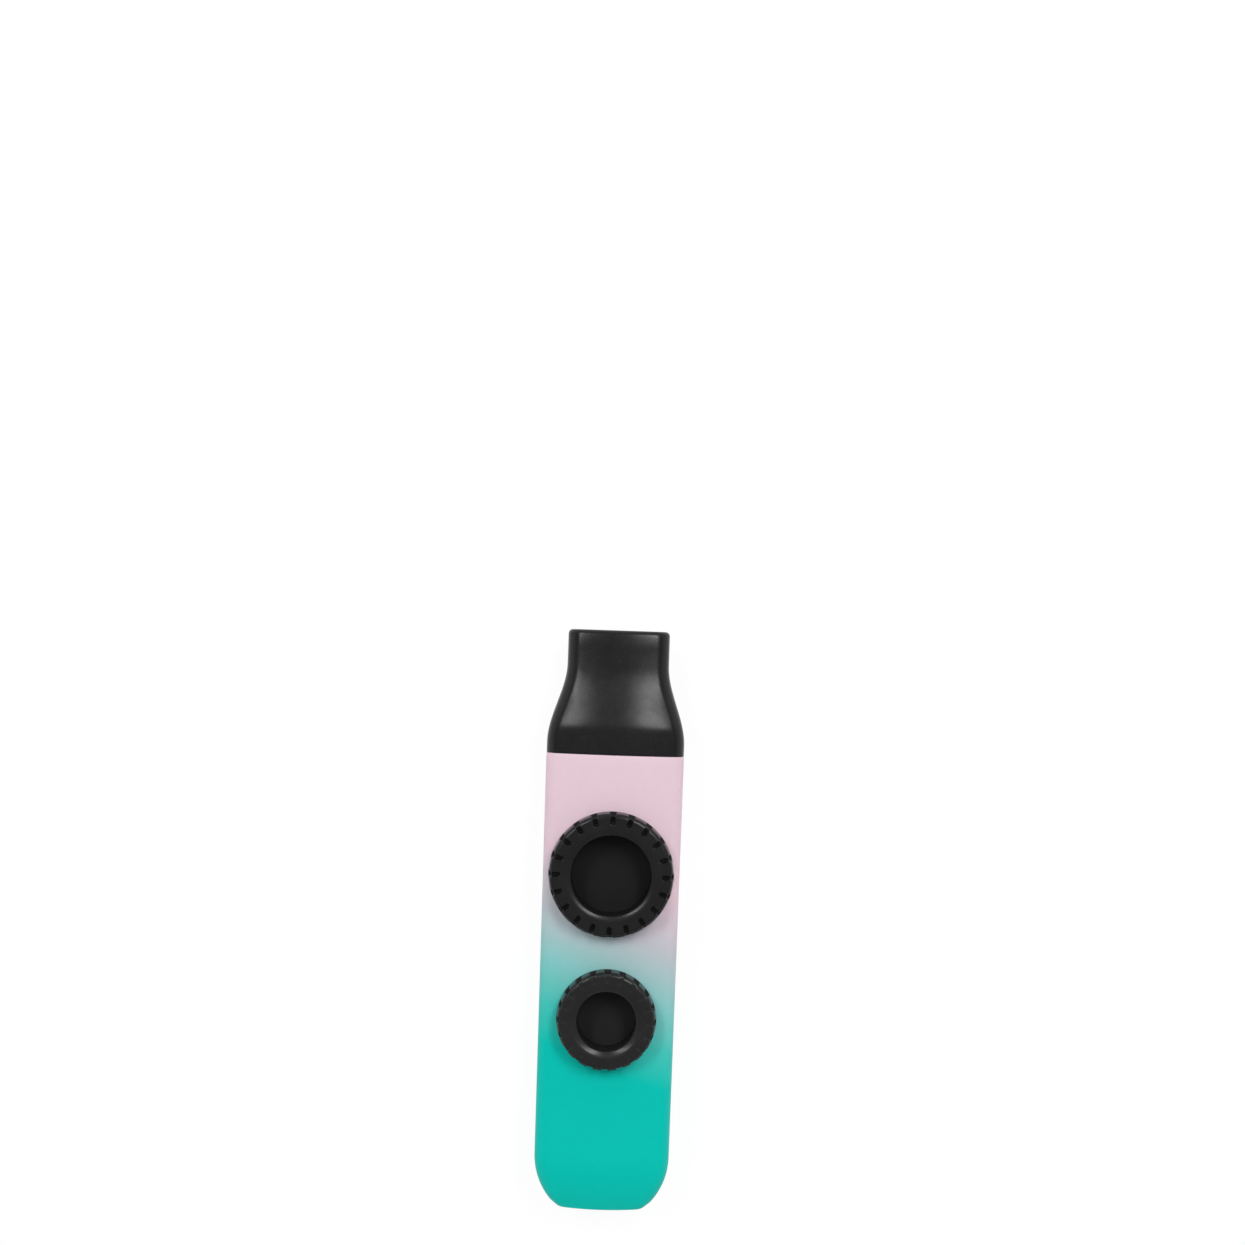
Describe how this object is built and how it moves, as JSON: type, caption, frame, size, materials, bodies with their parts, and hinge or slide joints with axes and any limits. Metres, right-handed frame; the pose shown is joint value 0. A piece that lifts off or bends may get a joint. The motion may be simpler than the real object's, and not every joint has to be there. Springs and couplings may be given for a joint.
{
  "type": "kazoo",
  "caption": "Kazoo with a flared mouthpiece, a long two-shell body with an open far end, and two notched screw caps that hold stretched membranes down in wells.",
  "frame": {"origin": "on the resting plane, under the middle of the instrument's bounding box, with the kazoo lying on its back", "axes": "+Y along the body towards the mouthpiece tip, +Z out of the front face through the caps, +X across the body"},
  "size_m": [0.032, 0.1342, 0.0225],
  "materials": {
    "shell_finish": "soft satin lacquer that fades from pale pink at the mouthpiece to teal at the far end",
    "mouthpiece_plastic": "satin moulded black",
    "cap_plastic": "satin moulded black",
    "hoop_plastic": "matte black",
    "film": "thin matte dark film",
    "seat_rubber": "matte rubber"
  },
  "bodies": {
    "root": {"front_shell": "shell_finish", "back_shell": "shell_finish", "mouthpiece": "mouthpiece_plastic", "large_hoop": "hoop_plastic", "large_film": "film", "large_seat": "seat_rubber", "small_hoop": "hoop_plastic", "small_film": "film", "small_seat": "seat_rubber"},
    "large_washer_body": {"large_slip_washer": "cap_plastic"},
    "large_cap_body": {"large_cap": "cap_plastic"},
    "small_washer_body": {"small_slip_washer": "cap_plastic"},
    "small_cap_body": {"small_cap": "cap_plastic"}
  },
  "joints": [
    {"name": "large_cap_lift", "type": "slide", "parent": "root", "child": "large_washer_body", "axis": [0, 0, 1], "range_m": [0, 0.00245]},
    {"name": "large_cap_turn", "type": "hinge", "parent": "large_washer_body", "child": "large_cap_body", "pos_m": [0, 0.01112, 0.0183], "axis": [0, 0, 1], "range_deg": [0, 630]},
    {"name": "small_cap_lift", "type": "slide", "parent": "root", "child": "small_washer_body", "axis": [0, 0, 1], "range_m": [0, 0.00245]},
    {"name": "small_cap_turn", "type": "hinge", "parent": "small_washer_body", "child": "small_cap_body", "pos_m": [0, -0.02218, 0.0183], "axis": [0, 0, 1], "range_deg": [0, 630]}
  ],
  "couplings": [
    {"joint": "large_cap_lift", "follows": "large_cap_turn", "m_per_rad": 0.0002228},
    {"joint": "small_cap_lift", "follows": "small_cap_turn", "m_per_rad": 0.0002228}
  ]
}
